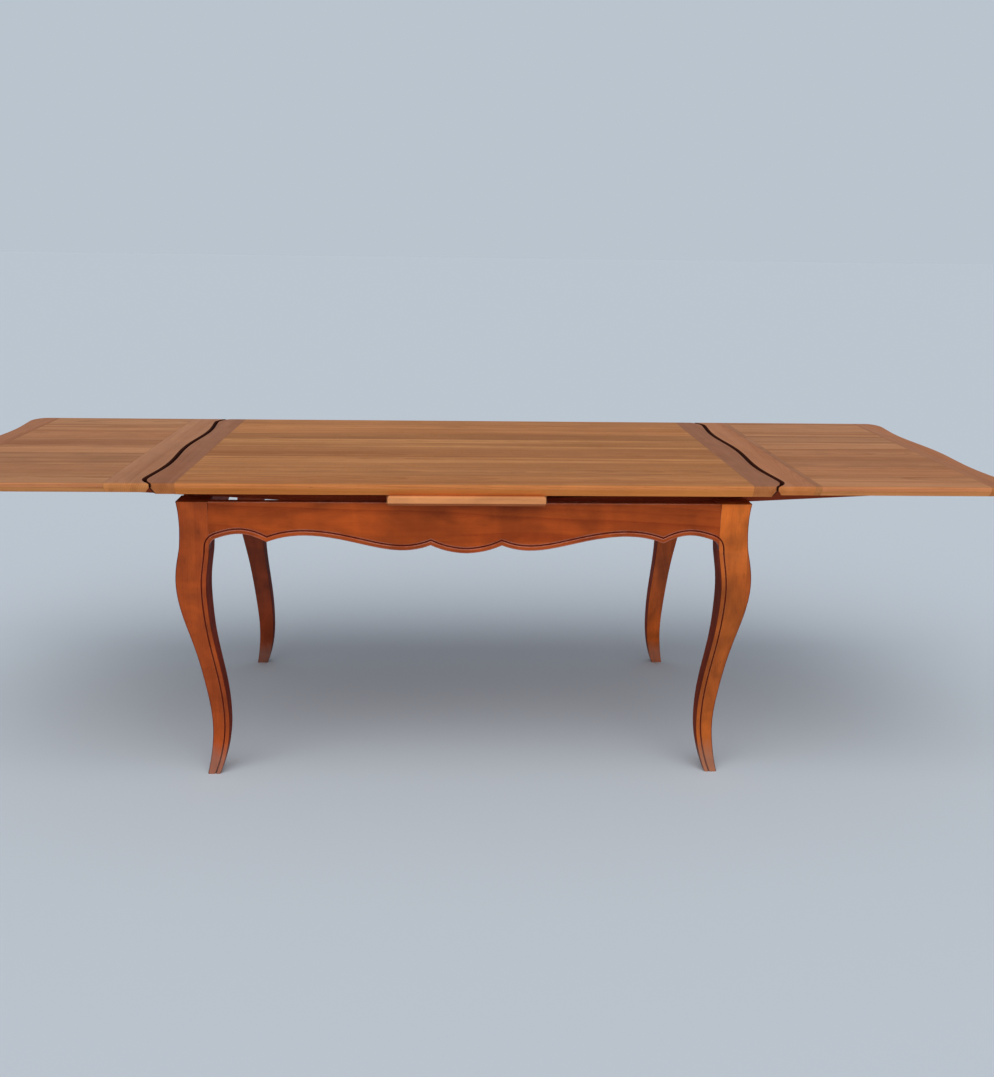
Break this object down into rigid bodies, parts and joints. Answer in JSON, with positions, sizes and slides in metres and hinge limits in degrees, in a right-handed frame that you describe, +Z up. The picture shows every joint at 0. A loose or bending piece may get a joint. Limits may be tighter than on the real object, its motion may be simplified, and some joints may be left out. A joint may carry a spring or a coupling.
{
  "type": "draw leaf table",
  "caption": "Dining table on curved legs with scalloped aprons; a loose top lifts off its pegs and leaves draw out of the ends on tapered lopers.",
  "frame": {"origin": "on the floor, under the middle of the table", "axes": "+X along the table to the right leaf, +Y across it to the rear, +Z up"},
  "size_m": [2.6264, 1.01, 0.76],
  "materials": {
    "leg_wood": "satin varnish, reddish cherry",
    "apron_wood": "satin varnish, reddish cherry",
    "top_wood": "satin varnish, tan cherry, grain along the table",
    "breadboard_wood": "satin varnish, tan cherry, grain across the table",
    "cap_wood": "satin varnish, light cherry",
    "inner_wood": "oiled, slightly worn",
    "screw_steel": "zinc plated"
  },
  "bodies": {
    "frame": {"front_left_leg": "leg_wood", "front_right_leg": "leg_wood", "rear_left_leg": "leg_wood", "rear_right_leg": "leg_wood", "front_apron": "apron_wood", "rear_apron": "apron_wood", "left_end_apron": "apron_wood", "right_end_apron": "apron_wood", "cross_rail": "inner_wood", "centre_board": "top_wood", "centre_board_front_cap": "cap_wood", "centre_board_rear_cap": "cap_wood", "centre_board_screws": "screw_steel"},
    "main_top": {"main_top_panel": "top_wood", "main_top_left_breadboard": "breadboard_wood", "main_top_right_breadboard": "breadboard_wood", "main_top_guide_pegs": "inner_wood"},
    "left_leaf": {"left_leaf_panel": "top_wood", "left_leaf_inner_breadboard": "breadboard_wood", "left_leaf_outer_breadboard": "breadboard_wood", "left_leaf_front_loper": "inner_wood", "left_leaf_rear_loper": "inner_wood", "left_loper_screws": "screw_steel", "left_loper_stop_pins": "inner_wood"},
    "right_leaf": {"right_leaf_panel": "top_wood", "right_leaf_inner_breadboard": "breadboard_wood", "right_leaf_outer_breadboard": "breadboard_wood", "right_leaf_front_loper": "inner_wood", "right_leaf_rear_loper": "inner_wood", "right_loper_screws": "screw_steel", "right_loper_stop_pins": "inner_wood"}
  },
  "joints": [
    {"name": "top_lift", "type": "slide", "parent": "frame", "child": "main_top", "axis": [0, 0, 1], "range_m": [0, 0.6759]},
    {"name": "left_leaf_slide", "type": "slide", "parent": "frame", "child": "left_leaf", "axis": [0.9986, 0, -0.0529], "range_m": [0, 0.54072]},
    {"name": "right_leaf_slide", "type": "slide", "parent": "frame", "child": "right_leaf", "axis": [-0.9986, 0, -0.0529], "range_m": [0, 0.54072]}
  ],
  "couplings": [
    {"joint": "left_leaf_slide", "follows": "top_lift", "ratio": 0.8},
    {"joint": "right_leaf_slide", "follows": "top_lift", "ratio": 0.8}
  ]
}
